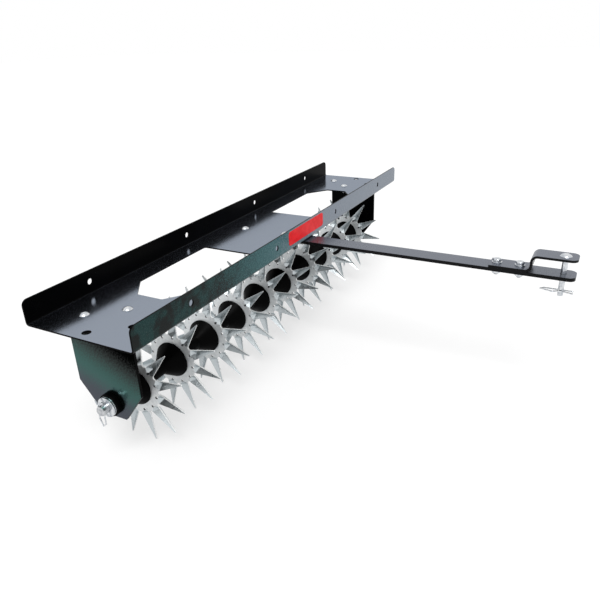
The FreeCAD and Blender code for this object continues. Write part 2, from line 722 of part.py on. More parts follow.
def build_hitch_fasteners():
    bolts, washers, locks, nuts = [], [], [], []
    head_seat = "(%s + dims.flat_washer_thick)" % STRAP_TOP
    lock_foot = "(%s - dims.lock_washer_thick)" % BAR_UNDER
    for number, reach in enumerate((HITCH_REAR, HITCH_FRONT)):
        y = "-" + reach
        tag = "hitch_%d" % number
        bolts.append(hex_bolt(tag, "0", y, head_seat, lock_foot))
        washers.append(washer(tag, "0", y, STRAP_TOP, "dims.flat_washer_radius", "dims.flat_washer_thick"))
        lock_tag = tag + "_lock"
        lock_size = ("dims.lock_washer_radius", "dims.lock_washer_thick")
        locks.append(washer(lock_tag, "0", y, lock_foot, *lock_size))
        nuts.append(hex_nut(tag, "0", y, lock_foot))
    group_parts("hitch_bolts", bolts)
    group_parts("hitch_flat_washers", washers)
    group_parts("hitch_lock_washers", locks)
    group_parts("hitch_nuts", nuts)


def at_bar_front(edge):
    """Pick the upright edges at the front end of the drawbar and of the strap."""
    return runs_along(edge, Z_AXIS) and abs(edge.CenterOfMass.y + size_of("dims.bar_reach")) < 0.1



# Drawbar: a flat bar under the tray floor, its front corners rounded.
def build_drawbar():
    body = doc.addObject("PartDesign::Body", "drawbar_body")
    outline = new_sketch(body, "drawbar_outline", "XY_Plane", FLOOR_UNDER)
    half = "(dims.bar_width / 2)"
    add_outline(outline, [
        (half, "dims.bar_rear"),
        ("-" + half, "dims.bar_rear"),
        ("-" + half, "-dims.bar_reach"),
        (half, "-dims.bar_reach"),
    ])
    add_pad(body, "drawbar_flat", outline, "dims.bar_thick", reverse=True)
    add_fillet(body, "drawbar_front_corners", at_bar_front, "dims.bar_round")
    holes = new_sketch(body, "drawbar_holes", "XY_Plane")
    for sign in (-1, 1):
        add_circle(holes, "0", "%d * dims.bar_bolt_side" % sign, BOLT_HOLE)
    add_circle(holes, "0", "-" + HITCH_REAR, BOLT_HOLE)
    add_circle(holes, "0", "-" + HITCH_FRONT, BOLT_HOLE)
    add_circle(holes, "0", "-" + PIN_REACH, PIN_HOLE)
    add_cut(body, "drawbar_bores", holes)
    seat("drawbar", body)


# Hitch strap: a flat strap bolted on the bar that steps up and forms the upper jaw.
def build_strap():
    body = doc.addObject("PartDesign::Body", "strap_body")
    side_view = new_sketch(body, "strap_side_view", "YZ_Plane")
    step_front = "-(%s + dims.strap_thick)" % STRAP_STEP
    jaw_under = "(dims.axle_drop + dims.jaw_gap)"
    add_outline(side_view, [
        ("-" + STRAP_REAR, FLOOR_UNDER),
        ("-" + STRAP_REAR, STRAP_TOP),
        ("-" + STRAP_STEP, STRAP_TOP),
        ("-" + STRAP_STEP, JAW_TOP),
        ("-dims.bar_reach", JAW_TOP),
        ("-dims.bar_reach", jaw_under),
        (step_front, jaw_under),
        (step_front, FLOOR_UNDER),
    ])
    add_pad(body, "strap_flat", side_view, "dims.bar_width", middle=True)

    rear, front = -size_of(STRAP_STEP), size_of(step_front)
    bar_top, strap_top = size_of(FLOOR_UNDER), size_of(STRAP_TOP)
    jaw_low, jaw_high = size_of(jaw_under), size_of(JAW_TOP)

    def near(edge, y, z):
        middle = edge.CenterOfMass
        return runs_along(edge, X_AXIS) and abs(middle.y - y) < 0.1 and abs(middle.z - z) < 0.1

    def inside_bend(edge):
        return near(edge, rear, strap_top) or near(edge, front, jaw_low)

    def outside_bend(edge):
        return near(edge, front, bar_top) or near(edge, rear, jaw_high)

    add_fillet(body, "strap_inner_bends", inside_bend, "dims.strap_bend")
    add_fillet(body, "strap_outer_bends", outside_bend, "dims.strap_bend + dims.strap_thick")

    add_fillet(body, "strap_front_corners", at_bar_front, "dims.bar_round")
    holes = new_sketch(body, "strap_holes", "XY_Plane")
    add_circle(holes, "0", "-" + HITCH_REAR, BOLT_HOLE)
    add_circle(holes, "0", "-" + HITCH_FRONT, BOLT_HOLE)
    add_circle(holes, "0", "-" + PIN_REACH, PIN_HOLE)
    add_cut(body, "strap_bores", holes)
    seat("hitch_strap", body)


# Hitch pin: a domed head on the upper jaw, a shank through both jaws and a cross hole.
def build_hitch_pin():
    ball = "((dims.pin_head_radius ^ 2 + dims.pin_head_height ^ 2) / (2 * dims.pin_head_height))"
    sink = "(%s - dims.pin_head_height)" % ball
    y = "-" + PIN_REACH
    head = primitive("Part::Sphere", "pin_head", {"Radius": ball}, ("0", y, "%s - %s" % (JAW_TOP, sink)))
    head.setExpression("Angle1", "asin(%s / %s)" % (sink, ball))
    shank_sizes = {"Radius": "dims.pin_radius", "Height": "%s - %s" % (JAW_TOP, PIN_FOOT)}
    shank = primitive("Part::Cylinder", "pin_shank", shank_sizes, ("0", y, PIN_FOOT))
    solid = doc.addObject("Part::MultiFuse", "pin_solid")
    solid.Shapes = [head, shank]
    length = "(4 * dims.pin_radius)"
    start = "-%s + %s / 2" % (PIN_REACH, length)
    hole_sizes = {"Radius": WIRE_HOLE, "Height": length}
    hole = primitive("Part::Cylinder", "pin_cross_hole", hole_sizes, ("0", start, PIN_CLIP_Z))
    hole.Placement.Rotation = FreeCAD.Rotation(X_AXIS, 90)
    pin = doc.addObject("Part::Cut", "pin_drilled")
    pin.Base, pin.Tool = solid, hole
    seat("hitch_pin", pin)


# Label plate: a thin plate stuck on the front flange.
def build_label():
    body = doc.addObject("PartDesign::Body", "label_body")
    outline = new_sketch(body, "label_outline", "XZ_Plane", HALF_WIDTH)
    left = "(dims.label_centre - dims.label_length / 2)"
    right = "(dims.label_centre + dims.label_length / 2)"
    low = "(dims.axle_drop + dims.label_rise)"
    high = "(dims.axle_drop + dims.label_rise + dims.label_height)"
    add_outline(outline, [(left, low), (right, low), (right, high), (left, high)])
    add_pad(body, "label_flat", outline, "dims.label_thick")
    add_fillet(body, "label_corners", lambda edge: runs_along(edge, Y_AXIS), "dims.label_round")
    seat("front_label_plate", body)


def build_all():
    build_tray()
    for side, sign in SIDES.items():
        build_end_plate(side, sign)
        build_bush(side, sign)
        build_axle_washers(side, sign)
        build_end_fasteners(side, sign)
        inset = sign * size_of(AXLE_CLIP_X)
        upright = FreeCAD.Rotation(Z_AXIS, 90) * FreeCAD.Rotation(X_AXIS, 90)
        place = FreeCAD.Vector(inset, 0, 0)
        bar, leg = size_of("dims.axle_radius"), size_of("dims.axle_clip_leg")
        build_clip("axle_clip_" + side, "axle_clip_wire_" + side, bar, leg, upright, place)
    build_axle()
    for number, phase in enumerate(STAR_PHASES):
        build_star(number, phase)
    for number in range(STAR_COUNT + 1):
        build_spacer(number)
    build_drawbar()
    build_drawbar_fasteners()
    build_strap()
    build_hitch_fasteners()
    build_hitch_pin()
    flat = FreeCAD.Rotation(Z_AXIS, 180)
    place = FreeCAD.Vector(0, -size_of(PIN_REACH), size_of(PIN_CLIP_Z))
    bar, leg = size_of("dims.pin_radius"), size_of("dims.pin_clip_leg")
    build_clip("hitch_pin_clip", "pin_clip_wire", bar, leg, flat, place)
    build_label()


def check_model():
    doc.recompute()
    for thing in doc.Objects:
        if "Invalid" in thing.State or "Error" in thing.State:
            raise RuntimeError("%s failed: %s" % (thing.Name, thing.State))
    for node, thing in parts.items():
        if thing.Shape.isNull() or not thing.Shape.isValid() or not thing.Shape.Solids:
            raise RuntimeError("%s has no valid solid" % node)


def export_parts():
    os.makedirs("parts", exist_ok=True)
    for node, thing in parts.items():
        thing.Shape.exportStep("parts/%s.step" % node)
        box = thing.Shape.BoundBox
        print("%-22s %2d solids  x %.1f..%.1f  y %.1f..%.1f  z %.1f..%.1f" % (
            node, len(thing.Shape.Solids), box.XMin, box.XMax, box.YMin, box.YMax, box.ZMin, box.ZMax))


build_all()
check_model()
export_parts()
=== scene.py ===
"""Dress the tow-behind spike aerator for looks.

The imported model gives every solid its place. This script copies the sheets, bars and
moulded pieces and softens their edges, builds the bolts, nuts, washers and wire clips
anew with more detail, gives each surface a procedural finish, and sets up a pale
floor, soft light and the camera.
"""

from __future__ import annotations

import logging
import math
from dataclasses import dataclass
from enum import Enum
from typing import Iterable, Sequence

import bmesh
import bpy
from mathutils import Matrix, Vector

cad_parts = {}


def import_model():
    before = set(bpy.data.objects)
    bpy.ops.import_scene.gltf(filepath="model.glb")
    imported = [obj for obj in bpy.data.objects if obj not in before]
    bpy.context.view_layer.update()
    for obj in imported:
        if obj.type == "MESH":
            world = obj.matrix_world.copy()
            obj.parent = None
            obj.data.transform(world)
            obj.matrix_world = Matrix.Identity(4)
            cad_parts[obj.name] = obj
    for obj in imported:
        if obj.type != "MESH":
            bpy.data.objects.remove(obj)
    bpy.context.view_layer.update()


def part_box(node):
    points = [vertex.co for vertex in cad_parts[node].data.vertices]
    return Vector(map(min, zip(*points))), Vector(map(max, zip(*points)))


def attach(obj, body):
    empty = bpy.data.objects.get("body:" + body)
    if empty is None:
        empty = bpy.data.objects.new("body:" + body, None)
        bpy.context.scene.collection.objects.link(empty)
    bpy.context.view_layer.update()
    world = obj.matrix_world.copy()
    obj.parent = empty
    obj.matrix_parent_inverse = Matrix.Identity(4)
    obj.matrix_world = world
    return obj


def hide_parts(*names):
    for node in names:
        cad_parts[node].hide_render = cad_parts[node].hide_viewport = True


LOG = logging.getLogger("aerator")

MM = 0.001
SIDES = {"left": -1, "right": 1}

# Vertices of a copied solid, and of a turned or swept mesh, are merged this close.
COPY_MERGE_MM = 0.004
BUILT_MERGE_MM = 0.002
# Faces of a copied solid within this angle of each other are made one.
FLAT_DEGREES = 0.3
# A face looks along an axis when its normal reaches this far along it.
FACING = 0.5
# Vertices nearer the axis than this share of the flats' distance aren't pressed.
HEX_CORE_SHARE = 0.45
# Range in which most values of a noise pattern lie.
NOISE_SPAN = (0.3, 0.7)
WHITE = (1.0, 1.0, 1.0, 1.0)


class Slot(Enum):
    """Names of the material slots."""

    ENAMEL = "black_enamel"
    PLASTIC = "black_plastic"
    GALVANISED = "galvanised_steel"
    BRIGHT = "bright_steel"
    ZINC = "zinc_plate"
    LABEL = "red_label"


# Finishes.


def linear(code: str) -> tuple[float, float, float, float]:
    """Turn an sRGB hex colour into linear light.

    Args:
        code: Six hex digits, such as "20242B".

    Returns:
        Red, green, blue and an alpha of one.
    """
    channels = [int(code[i : i + 2], 16) / 255 for i in (0, 2, 4)]
    bent = [c / 12.92 if c <= 0.04045 else ((c + 0.055) / 1.055) ** 2.4 for c in channels]
    return bent[0], bent[1], bent[2], 1.0


def add_node(
    tree: bpy.types.NodeTree,
    kind: str,
    inputs: dict[str | int, object] | None = None,
    **settings: object,
) -> bpy.types.Node:
    """Add one node; an input given as a socket is linked, any other is set.

    Args:
        tree: The node tree to add to.
        kind: The node's type name.
        inputs: Input names or numbers with their values or source sockets.
        **settings: Attributes of the node itself.

    Returns:
        The new node.
    """
    node = tree.nodes.new(kind)
    for key, value in settings.items():
        setattr(node, key, value)
    for key, value in (inputs or {}).items():
        if isinstance(value, bpy.types.NodeSocket):
            tree.links.new(value, node.inputs[key])
        else:
            node.inputs[key].default_value = value
    return node


def per_mm(size_mm: float) -> float:
    """Texture scale on Object coordinates for a pattern of that size."""
    return 1.0 / (size_mm * MM)


def noise(
    tree: bpy.types.NodeTree, where: bpy.types.NodeSocket, size_mm: float, detail: float
) -> bpy.types.NodeSocket:
    """Add a noise pattern of a real size.

    Args:
        tree: The node tree to add to.
        where: Coordinates to read.
        size_mm: Size of the pattern's largest spots.
        detail: Octaves of finer noise on top.

    Returns:
        The noise value, about 0.3 to 0.7.
    """
    numbers = {"Vector": where, "Scale": per_mm(size_mm), "Detail": detail}
    return add_node(tree, "ShaderNodeTexNoise", numbers).outputs["Fac"]


def spread(
    tree: bpy.types.NodeTree,
    value: bpy.types.NodeSocket,
    low: float,
    high: float,
    to_low: float,
    to_high: float,
) -> bpy.types.NodeSocket:
    """Map a value smoothly from one range to another.

    Args:
        tree: The node tree to add to.
        value: The value to map.
        low: Start of the range read.
        high: End of the range read.
        to_low: What the start becomes.
        to_high: What the end becomes.

    Returns:
        The mapped value.
    """
    numbers = {"Value": value, "From Min": low, "From Max": high, "To Min": to_low, "To Max": to_high}
    return add_node(tree, "ShaderNodeMapRange", numbers, interpolation_type="SMOOTHSTEP").outputs["Result"]


def blend_colours(
    tree: bpy.types.NodeTree, share: bpy.types.NodeSocket, first: object, second: object
) -> bpy.types.NodeSocket:
    """Blend two colours, each a colour or a socket, by a share from 0 to 1."""
    mixed = add_node(tree, "ShaderNodeMix", {0: share, 6: first, 7: second}, data_type="RGBA")
    return mixed.outputs[2]


def calculate(tree: bpy.types.NodeTree, operation: str, *values: object) -> bpy.types.NodeSocket:
    """Work out one number from numbers or sockets."""
    return add_node(tree, "ShaderNodeMath", dict(enumerate(values)), operation=operation).outputs[0]


def bumps(
    tree: bpy.types.NodeTree, height: bpy.types.NodeSocket, depth_mm: float, strength: float
) -> bpy.types.NodeSocket:
    """Raise a pattern from the surface as bumps of a real depth."""
    numbers = {"Height": height, "Distance": depth_mm * MM, "Strength": strength}
    return add_node(tree, "ShaderNodeBump", numbers).outputs["Normal"]


def model_place(tree: bpy.types.NodeTree) -> bpy.types.NodeSocket:
    """Give the shaded point's place in its object."""
    return add_node(tree, "ShaderNodeTexCoord").outputs["Object"]


@dataclass(frozen=True)
class Finish:
    """A surface finish that can make its own material."""

    name: str
    slot: Slot

    def material(self) -> bpy.types.Material:
        """Make the material, or give the one made before.

        Returns:
            The finished material.
        """
        made = bpy.data.materials.get(self.name)
        if made is None:
            made = bpy.data.materials.new(self.name)
            made.use_nodes = True
            made.node_tree.nodes.clear()
            shader = self.surface(made.node_tree)
            add_node(made.node_tree, "ShaderNodeOutputMaterial", {"Surface": shader})
        return made

    def surface(self, tree: bpy.types.NodeTree) -> bpy.types.NodeSocket:
        """Build the surface shader."""
        raise NotImplementedError


@dataclass(frozen=True)
class PaintedLightFade:
    """Painted reflection or shade: a slow change to another colour along one direction through the model."""

    towards: tuple[float, float, float]
    start_m: float
    end_m: float
    colour: str


@dataclass(frozen=True)
class PowderCoat(Finish):
    """Black powder coat on steel sheet, sprayed and baked.

    The coat flows out glossy over a fine orange peel, so it mirrors its surroundings
    softly and breaks a reflection's edge into grains. Grains are drawn 2 mm wide, about
    twice their real size, so that they show, and they also break the edges of the
    changes of colour by place. Those changes paint reflections and shade into the coat,
    and a tinted reflection paints a coloured sheen where one is set.
    """

    base: str = "0B0C0E"
    cloud: str = "111317"
    painted_light_fades: tuple[PaintedLightFade, ...] = ()
    cloud_mm: float = 70.0
    grain_mm: float = 2.0
    drift_m: float = 0.012
    cloud_span: tuple[float, float] = (0.4, 0.62)
    rough_ratios: tuple[float, float] = (0.85, 1.25)
    peel_mm: float = 0.1
    peel_strength: float = 0.35
    roughness: float = 0.24
    ior: float = 1.5
    level: float = 0.5
    sheen: str = "FFFFFF"
    painted_light_in_mirror: bool = False

    def surface(self, tree: bpy.types.NodeTree) -> bpy.types.NodeSocket:
        """Build black paint with clouds, painted reflections and shade that change slowly by place, and
        orange peel.

        Where the painted light goes in the mirror only, the changes of colour by place tint
        its reflection and not its paint, and the first change also turns the reflection
        down where it paints shade.
        """
        where = model_place(tree)
        clouds = spread(tree, noise(tree, where, self.cloud_mm, 5.0), *self.cloud_span, 0.0, 1.0)
        paint = blend_colours(tree, clouds, linear(self.base), linear(self.cloud))
        # Where painted light goes in the mirror, the painted colours start from the reflection tint;
        # otherwise from the paint.
        tone: object = linear(self.sheen) if self.painted_light_in_mirror else paint
        level: object = self.level
        grain = noise(tree, where, self.grain_mm, 2.0)
        drift = spread(tree, grain, *NOISE_SPAN, -self.drift_m, self.drift_m)
        # Each change of colour by place paints reflection or shade.
        for painted_fade in self.painted_light_fades:
            ends = {0: where, 1: painted_fade.towards}
            way = add_node(tree, "ShaderNodeVectorMath", ends, operation="DOT_PRODUCT").outputs["Value"]
            place = calculate(tree, "ADD", way, drift)
            share = spread(tree, place, painted_fade.start_m, painted_fade.end_m, 0.0, 1.0)
            tone = blend_colours(tree, share, tone, linear(painted_fade.colour))
            # The first change also turns the reflection up from none, so that where it is none it paints
            # shade.
            if self.painted_light_in_mirror and painted_fade is self.painted_light_fades[0]:
                level = spread(tree, share, 0.0, 1.0, 0.0, self.level)
        smooth, dull = (self.roughness * ratio for ratio in self.rough_ratios)
        values = {
            "Base Color": paint if self.painted_light_in_mirror else tone,
            "Roughness": spread(tree, grain, *NOISE_SPAN, smooth, dull),
            "Normal": bumps(tree, grain, self.peel_mm, self.peel_strength),
            "IOR": self.ior,
            "Specular IOR Level": level,
            "Specular Tint": tone if self.painted_light_in_mirror else linear(self.sheen),
        }
        return add_node(tree, "ShaderNodeBsdfPrincipled", values).outputs["BSDF"]


@dataclass(frozen=True)
class GalvanisedSheet(Finish):
    """Hot-dip galvanised steel sheet, stamped and folded.

    The zinc freezes in pale crystals a few millimetres wide, each a slightly different
    grey, with a satin sheen. On faces turned from the axle's direction a painted colour
    stands in for light: darker, bluer shade and reflection on the folds, a highlight on
    cut edges or shade in holes, by the finish.
    """

    web: str = "EAEDEE"
    crystal: str = "DFE3E5"
    turned_painted_light: str = "C2C9CC"
    metal: float = 0.45
    fold_metal: float = 0.85
    crystal_mm: float = 4.0
    fold_span: tuple[float, float] = (0.97, 0.85)
    fold_polish: float = 0.75
    satin: tuple[float, float] = (0.36, 0.46)
    grain_mm: float = 2.2
    bump_mm: float = 0.05
    bump_strength: float = 0.1

    def surface(self, tree: bpy.types.NodeTree) -> bpy.types.NodeSocket:
        """Build zinc crystals, painted shade and reflection on the folds and a fine grain.

        Whatever faces away from the axle's direction counts as folded and takes the painted
        light colour, so on cut edges and on the walls of holes that painted highlight or
        shade and the folds' metal are the whole finish.
        """
        coords = add_node(tree, "ShaderNodeTexCoord")
        where = coords.outputs["Object"]
        cells = {"Vector": where, "Scale": per_mm(self.crystal_mm)}
        crystals = add_node(tree, "ShaderNodeTexVoronoi", cells)
        tone = add_node(tree, "ShaderNodeSeparateColor", {0: crystals.outputs["Color"]}).outputs["Red"]
        sheet = blend_colours(tree, tone, linear(self.web), linear(self.crystal))
        across = add_node(tree, "ShaderNodeSeparateXYZ", {0: coords.outputs["Normal"]}).outputs["X"]
        folded = spread(tree, calculate(tree, "ABSOLUTE", across), *self.fold_span, 0.0, 1.0)
        # Faces turned from the axle's direction take a painted light colour: shade and reflection on the
        # folds, a highlight on cut edges, shade in holes.
        colour = blend_colours(tree, folded, sheet, linear(self.turned_painted_light))
        grain = noise(tree, where, self.grain_mm, 3.0)
        satin = spread(tree, tone, 0.0, 1.0, *self.satin)
        polish = spread(tree, folded, 0.0, 1.0, 1.0, self.fold_polish)
        values = {
            "Base Color": colour,
            "Metallic": spread(tree, folded, 0.0, 1.0, self.metal, self.fold_metal),
            "Roughness": calculate(tree, "MULTIPLY", satin, polish),
            "Normal": bumps(tree, grain, self.bump_mm, self.bump_strength),
        }
        return add_node(tree, "ShaderNodeBsdfPrincipled", values).outputs["BSDF"]


@dataclass(frozen=True)
class PlatedSteel(Finish):
    """Steel with bright zinc plating, or plain drawn steel.

    A thin plated layer over machined steel: near-mirror, a little clouded, with faint
    warm and cool patches from the clear passivation.
    """

    base: str = "DADCDE"
    cloud: str = "B9BEC4"
    roughness: float = 0.2
    rough_ratios: tuple[float, float] = (0.8, 1.5)
    cloud_mm: float = 5.0
    cloud_span: tuple[float, float] = (0.36, 0.66)
    scratch_mm: float = 0.9
    bump_mm: float = 0.02
    bump_strength: float = 0.3

    def surface(self, tree: bpy.types.NodeTree) -> bpy.types.NodeSocket:
        """Build bright metal with clouding and fine scratches."""
        where = model_place(tree)
        clouds = noise(tree, where, self.cloud_mm, 3.0)
        share = spread(tree, clouds, *self.cloud_span, 0.0, 1.0)
        smooth, dull = (self.roughness * ratio for ratio in self.rough_ratios)
        scratch = noise(tree, where, self.scratch_mm, 2.0)
        values = {
            "Base Color": blend_colours(tree, share, linear(self.base), linear(self.cloud)),
            "Metallic": 1.0,
            "Roughness": spread(tree, clouds, *NOISE_SPAN, smooth, dull),
            "Normal": bumps(tree, scratch, self.bump_mm, self.bump_strength),
        }
        return add_node(tree, "ShaderNodeBsdfPrincipled", values).outputs["BSDF"]


@dataclass(frozen=True)
class MouldedPlastic(Finish):
    """Black polyethylene, injection moulded: deep black, semi-gloss, a fine moulded grain."""

    base: str = "020202"
    cloud: str = "030303"
    roughness: float = 0.42
    rough_ratios: tuple[float, float] = (0.85, 1.3)
    level: float = 0.03
    flow_mm: float = 25.0
    flow_span: tuple[float, float] = (0.38, 0.64)
    grain_mm: float = 1.2
    bump_mm: float = 0.02
    bump_strength: float = 0.25

    def surface(self, tree: bpy.types.NodeTree) -> bpy.types.NodeSocket:
        """Build black plastic with a fine grain."""
        where = model_place(tree)
        flow = noise(tree, where, self.flow_mm, 3.0)
        share = spread(tree, flow, *self.flow_span, 0.0, 1.0)
        smooth, dull = (self.roughness * ratio for ratio in self.rough_ratios)
        grain = noise(tree, where, self.grain_mm, 2.0)
        values = {
            "Base Color": blend_colours(tree, share, linear(self.base), linear(self.cloud)),
            "Roughness": spread(tree, flow, *NOISE_SPAN, smooth, dull),
            "Normal": bumps(tree, grain, self.bump_mm, self.bump_strength),
            "Specular IOR Level": self.level,
        }
        return add_node(tree, "ShaderNodeBsdfPrincipled", values).outputs["BSDF"]


@dataclass(frozen=True)
class LabelEnamel(Finish):
    """Red stove enamel on a thin plate: saturated, smooth and glossy, a slight unevenness."""

    base: str = "F3282E"
    cloud: str = "E62228"
    cloud_mm: float = 14.0
    cloud_span: tuple[float, float] = (0.4, 0.62)
    rough_span: tuple[float, float] = (0.3, 0.42)
    level: float = 0.1
    grain_mm: float = 2.0
    bump_mm: float = 0.03
    bump_strength: float = 0.3

    def surface(self, tree: bpy.types.NodeTree) -> bpy.types.NodeSocket:
        """Build red enamel with faint clouds."""
        where = model_place(tree)
        clouds = noise(tree, where, self.cloud_mm, 3.0)
        share = spread(tree, clouds, *self.cloud_span, 0.0, 1.0)
        grain = noise(tree, where, self.grain_mm, 2.0)
        values = {
            "Base Color": blend_colours(tree, share, linear(self.base), linear(self.cloud)),
            "Roughness": spread(tree, clouds, *NOISE_SPAN, *self.rough_span),
            "Normal": bumps(tree, grain, self.bump_mm, self.bump_strength),
            "Specular IOR Level": self.level,
        }
        return add_node(tree, "ShaderNodeBsdfPrincipled", values).outputs["BSDF"]


# Tray floor: a raised IOR and a bluish reflection tint paint a bright sky sheen on the black coat.
FLOOR_COAT = PowderCoat(
    "powder_coat_tray_floor_painted_sheen",
    Slot.ENAMEL,
    base="08090B",
    cloud="0C0D10",
    roughness=0.15,
    ior=4.6,
    sheen="D6E1F2",
)
# Black coat with its reflection turned almost off: the coat's own black plus painted shade, on the flanges,
# plate insides and the rest of the tray.
SHEET_COAT = PowderCoat(
    "powder_coat_black_painted_shade", Slot.ENAMEL, base="010101", cloud="020203", roughness=0.3, level=0.025
)
# Front flange outside: teal clouds paint a mottled green reflection, and the colour along X paints a dark
# teal reflection near the near end turning to a blue-grey sky reflection at the far end.
FLANGE_COAT = PowderCoat(
    "powder_coat_front_flange_painted_reflection",
    Slot.ENAMEL,
    base="040E0D",
    cloud="173837",
    painted_light_fades=(PaintedLightFade((1.0, 0.0, 0.0), -0.34, -0.14, "386569"), PaintedLightFade((1.0, 0.0, 0.0), -0.16, 0.05, "868F9B")),
    cloud_mm=22.0,
    drift_m=0.05,
    level=0.12,
)
# End plate outside: the reflection is tinted dark green, then green and blue-grey lower down, as painted
# reflections, and turned off near the top under the tray as painted shade.
PLATE_COAT = PowderCoat(
    "powder_coat_end_plate_painted_reflection",
    Slot.ENAMEL,
    base="020303",
    cloud="030504",
    painted_light_fades=(
        PaintedLightFade((0.0, 0.4, -0.917), -0.1, -0.02, "5EC0B4"),
        PaintedLightFade((0.0, 0.33, -0.94), -0.055, -0.012, "838DA2"),
    ),
    roughness=0.16,
    ior=2.35,
    sheen="1E3A36",
    painted_light_in_mirror=True,
)
# Tops of the bar and strap: a bluish grey base, a raised IOR and a bluish reflection tint paint a lit sheen.
BAR_COAT = PowderCoat(
    "powder_coat_bar", Slot.ENAMEL, base="1A1C22", cloud="1E2027", roughness=0.3, ior=2.6, sheen="DCE5F7"
)
# Sides of the bar and strap: the same black coat, darker and with its reflection turned down, a copy that
# paints shade.
BAR_SIDE_COAT = PowderCoat("powder_coat_bar_side_painted_shade", Slot.ENAMEL, base="040406", cloud="070709", level=0.12)
# Its colour on the fold flanks is darker and bluer: painted shade and reflection.
STAR_ZINC = GalvanisedSheet("galvanised_sheet_painted_fold_shade", Slot.GALVANISED)
# Cut edges of the spikes: a near-white colour paints a highlight.
EDGE_HIGHLIGHT_ZINC = GalvanisedSheet("galvanised_cut_edge_painted_highlight", Slot.GALVANISED, turned_painted_light="F0F2F2", fold_metal=0.45)
# Walls of the holes: a dark colour paints the shade in them.
HOLE_SHADE_ZINC = GalvanisedSheet("punched_wall_painted_shade", Slot.GALVANISED, turned_painted_light="2A3032", fold_metal=0.2)
BOLT_ZINC = PlatedSteel("bright_zinc_plate", Slot.ZINC)
AXLE_STEEL = PlatedSteel("drawn_steel", Slot.BRIGHT, base="C4C6C8", cloud="A9ACB0", roughness=0.24)
SPACER_PLASTIC = MouldedPlastic("moulded_black_plastic", Slot.PLASTIC)
LABEL_RED = LabelEnamel("red_enamel", Slot.LABEL)


# Mesh work.


def copy_solid(node: str) -> bmesh.types.BMesh:
    """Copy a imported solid's mesh, merged, with its flat areas made whole.

    Args:
        node: Name of the node to copy.

    Returns:
        A mesh in the model's frame.
    """
    bm = bmesh.new()
    bm.from_mesh(bpy.data.objects[node].data)
    bmesh.ops.remove_doubles(bm, verts=bm.verts, dist=COPY_MERGE_MM * MM)
    flat = math.radians(FLAT_DEGREES)
    bmesh.ops.dissolve_limit(bm, angle_limit=flat, verts=bm.verts, edges=bm.edges, delimit={"NORMAL"})
    return bm


def sharpen(bm: bmesh.types.BMesh, degrees: float) -> None:
    """Shade faces smooth and keep edges sharper than an angle crisp."""
    limit = math.radians(degrees)
    for face in bm.faces:
        face.smooth = True
    for edge in bm.edges:
        edge.smooth = not (edge.is_manifold and edge.calc_face_angle() > limit)


def place_piece(
    bm: bmesh.types.BMesh,
    name: str,
    body: str,
    finishes: Sequence[Finish],
    nodes: Iterable[str] = (),
    crisp: float = 35.0,
) -> bpy.types.Object:
    """Turn a finished mesh into a piece that rides on a body.

    Args:
        bm: The mesh in the model's frame; it is freed.
        name: Name of the piece.
        body: Body that carries the piece.
        finishes: Finishes by material index.
        nodes: Nodes that the piece stands for.
        crisp: Edges sharper than this many degrees stay crisp.

    Returns:
        The new object.
    """
    sharpen(bm, crisp)
    mesh = bpy.data.meshes.new(name)
    bm.to_mesh(mesh)
    bm.free()
    for finish in finishes:
        mesh.materials.append(finish.material())
    piece = bpy.data.objects.new(name, mesh)
    bpy.context.scene.collection.objects.link(piece)
    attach(piece, body)
    if nodes:
        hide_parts(*nodes)
    LOG.info("%s on %s: %d faces", name, body, len(mesh.polygons))
    return piece


def soften(piece: bpy.types.Object, width_mm: float, segments: int = 2, degrees: float = 30.0) -> None:
    """Round a piece's sharp edges so that they catch the light."""
    rounding = piece.modifiers.new("softened_edges", "BEVEL")
    rounding.width = width_mm * MM
    rounding.segments = segments
    rounding.limit_method = "ANGLE"
    rounding.angle_limit = math.radians(degrees)
    rounding.harden_normals = True


def lathe(
    bm: bmesh.types.BMesh,
    profile: Sequence[tuple[float, float]],
    frame: Matrix,
    steps: int = 72,
    turn_degrees: float = 360.0,
) -> list[bmesh.types.BMVert]:
    """Turn a profile about an axis.

    Args:
        bm: The mesh to add to.
        profile: Points of (radius, height) in millimetres; a solid one starts and ends
            on the axis, a ring's is closed by itself.
        frame: Where the axis stands; its Z is the axis.
        steps: Facets round the turn.
        turn_degrees: How far to turn; less than a full turn leaves flat ends.

    Returns:
        The new vertices.
    """
    known = set(bm.verts)
    points = [bm.verts.new((radius * MM, 0.0, height * MM)) for radius, height in profile]
    whole = turn_degrees >= 360.0
    if whole:
        geometry = points + [bm.edges.new(pair) for pair in zip(points, points[1:])]
        if profile[0][0] > 0:
            geometry.append(bm.edges.new((points[-1], points[0])))
    else:
        cap = bm.faces.new(points)
        geometry = [cap, *cap.edges, *cap.verts]
        bmesh.ops.duplicate(bm, geom=geometry)
    angle = math.radians(turn_degrees)
    bmesh.ops.spin(bm, geom=geometry, cent=(0, 0, 0), axis=(0, 0, 1), angle=angle, steps=steps)
    fresh = [vert for vert in bm.verts if vert not in known]
    bmesh.ops.remove_doubles(bm, verts=fresh, dist=BUILT_MERGE_MM * MM)
    fresh = [vert for vert in bm.verts if vert not in known]
    faces = {face for vert in fresh for face in vert.link_faces}
    bmesh.ops.recalc_face_normals(bm, faces=list(faces))
    bmesh.ops.transform(bm, matrix=frame, verts=fresh)
    return fresh


def standing(x: float, y: float, z: float) -> Matrix:
    """A frame standing upright at a place in millimetres."""
    return Matrix.Translation(Vector((x, y, z)) * MM)


